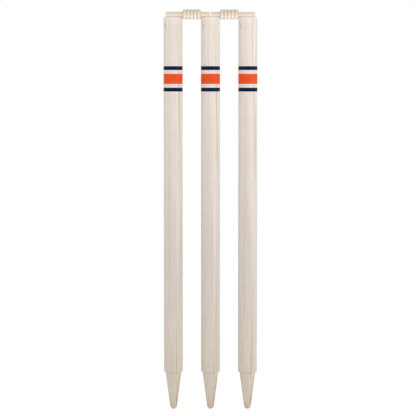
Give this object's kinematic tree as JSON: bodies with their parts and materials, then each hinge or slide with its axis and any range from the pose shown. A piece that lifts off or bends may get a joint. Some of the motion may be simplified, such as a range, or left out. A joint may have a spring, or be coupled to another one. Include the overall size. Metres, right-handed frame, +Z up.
{
  "type": "cricket stumps",
  "caption": "Round wooden cricket stumps on pointed spikes, banded with coloured tape, with turned, beaded bails resting in grooves across their domed crowns.",
  "frame": {"origin": "ground line on the middle stump's axis, at the plane of the flat shoulders above the spikes", "axes": "+Z up along the stumps, +X along the row and the bails to the right in the picture, -Y towards the camera"},
  "size_m": [0.1874, 0.0386, 0.8011],
  "materials": {
    "stump_ash": "sanded pale ash with straight grain, thin clear seal, satin",
    "bail_ash": "turned pale ash, slightly warmer than the stumps, satin",
    "orange_tape": "smooth orange-red vinyl tape, semi-gloss",
    "navy_tape": "smooth navy vinyl tape, semi-gloss"
  },
  "bodies": {
    "middle_stump": {"stump_middle": "stump_ash", "orange_band_middle": "orange_tape", "upper_navy_band_middle": "navy_tape", "lower_navy_band_middle": "navy_tape"},
    "left_stump": {"stump_left": "stump_ash", "orange_band_left": "orange_tape", "upper_navy_band_left": "navy_tape", "lower_navy_band_left": "navy_tape"},
    "right_stump": {"stump_right": "stump_ash", "orange_band_right": "orange_tape", "upper_navy_band_right": "navy_tape", "lower_navy_band_right": "navy_tape"},
    "left_bail": {"bail_left": "bail_ash"},
    "right_bail": {"bail_right": "bail_ash"}
  },
  "joints": [
    {"name": "left_stump_draw", "type": "slide", "parent": "middle_stump", "child": "left_stump", "axis": [0, 0, 1], "range_m": [0, 0.08]},
    {"name": "right_stump_draw", "type": "slide", "parent": "middle_stump", "child": "right_stump", "axis": [0, 0, 1], "range_m": [0, 0.08]},
    {"name": "left_bail_lift", "type": "slide", "parent": "left_stump", "child": "left_bail", "axis": [0, 0, 1], "range_m": [0, 0.04]},
    {"name": "right_bail_lift", "type": "slide", "parent": "right_stump", "child": "right_bail", "axis": [0, 0, 1], "range_m": [0, 0.04]}
  ]
}
